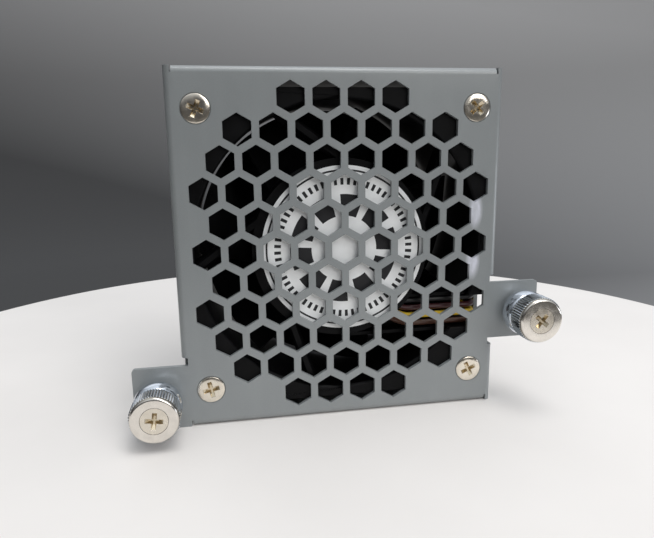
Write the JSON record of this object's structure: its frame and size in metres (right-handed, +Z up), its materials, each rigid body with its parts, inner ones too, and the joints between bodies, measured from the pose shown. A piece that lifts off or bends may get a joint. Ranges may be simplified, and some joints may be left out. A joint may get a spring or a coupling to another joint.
{
  "type": "server fan module",
  "caption": "Square axial fan in a folded sheet-metal bracket with a hexagonal grille, held by captive knurled thumbscrews on side ears, with a lead connector at the rear.",
  "frame": {"origin": "centre of the bottom flange's underside, midway between the grille's front face and the rear edge", "axes": "+X to the right as seen from the grille, +Y from the grille into the chassis along the fan axis, +Z up"},
  "size_m": [0.0956, 0.07, 0.0782],
  "materials": {
    "grey_paint": "satin grey paint",
    "black_plastic": "smooth moulded",
    "impeller_plastic": "fine moulded",
    "label_foil": "silver-white foil",
    "brass": "turned",
    "bearing_steel": "ground",
    "yoke_steel": "pressed",
    "ferrite": "bonded magnet",
    "insulator_plastic": "moulded",
    "copper_enamel": "enamelled copper",
    "board_green": "solder mask",
    "component_black": "moulded",
    "screw_nickel": "warm nickel plate",
    "thumb_nickel": "bright nickel plate",
    "spring_steel": "drawn wire",
    "connector_plastic": "natural nylon",
    "contact_brass": "tinned",
    "lead_black": "vinyl sleeve",
    "lead_red": "vinyl sleeve",
    "lead_yellow": "vinyl sleeve",
    "lead_brown": "vinyl sleeve"
  },
  "bodies": {
    "module": {"bracket": "grey_paint", "fan_housing": "black_plastic", "motor_base": "black_plastic", "hub_label": "label_foil", "bearing_sleeve": "brass", "front_bearing_outer_race": "bearing_steel", "rear_bearing_outer_race": "bearing_steel", "stator_core": "yoke_steel", "front_insulator": "insulator_plastic", "rear_insulator": "insulator_plastic", "stator_windings": "copper_enamel", "circuit_board": "board_green", "board_components": "component_black", "fan_screws": "screw_nickel", "connector_housing": "connector_plastic", "connector_contacts": "contact_brass", "black_lead": "lead_black", "red_lead": "lead_red", "yellow_lead": "lead_yellow", "brown_lead": "lead_brown", "left_retainer": "thumb_nickel", "right_retainer": "thumb_nickel"},
    "rotor": {"impeller": "impeller_plastic", "rotor_yoke": "yoke_steel", "rotor_magnet": "ferrite", "shaft": "bearing_steel", "shaft_boss": "brass", "preload_washer": "bearing_steel", "retaining_clip": "bearing_steel", "front_bearing_inner_race": "bearing_steel", "rear_bearing_inner_race": "bearing_steel"},
    "left_turner": {"left_spring": "spring_steel"},
    "left_plunger": {"left_knob": "thumb_nickel", "left_thumb_screw": "thumb_nickel"},
    "right_turner": {"right_spring": "spring_steel"},
    "right_plunger": {"right_knob": "thumb_nickel", "right_thumb_screw": "thumb_nickel"}
  },
  "joints": [
    {"name": "rotor_spin", "type": "hinge", "parent": "module", "child": "rotor", "pos_m": [0, 0, 0.0391], "axis": [0, 1, 0], "continuous": true},
    {"name": "left_turn", "type": "hinge", "parent": "module", "child": "left_turner", "pos_m": [-0.04195, 0, 0.00725], "axis": [0, 1, 0], "continuous": true},
    {"name": "left_press", "type": "slide", "parent": "left_turner", "child": "left_plunger", "axis": [0, 1, 0], "range_m": [0, 0.0009], "stiffness_N_per_m": 400, "springref_m": -0.0025, "deforming": ["left_spring"]},
    {"name": "right_turn", "type": "hinge", "parent": "module", "child": "right_turner", "pos_m": [0.0428, 0, 0.02285], "axis": [0, 1, 0], "continuous": true},
    {"name": "right_press", "type": "slide", "parent": "right_turner", "child": "right_plunger", "axis": [0, 1, 0], "range_m": [0, 0.0009], "stiffness_N_per_m": 400, "springref_m": -0.0025, "deforming": ["right_spring"]}
  ]
}
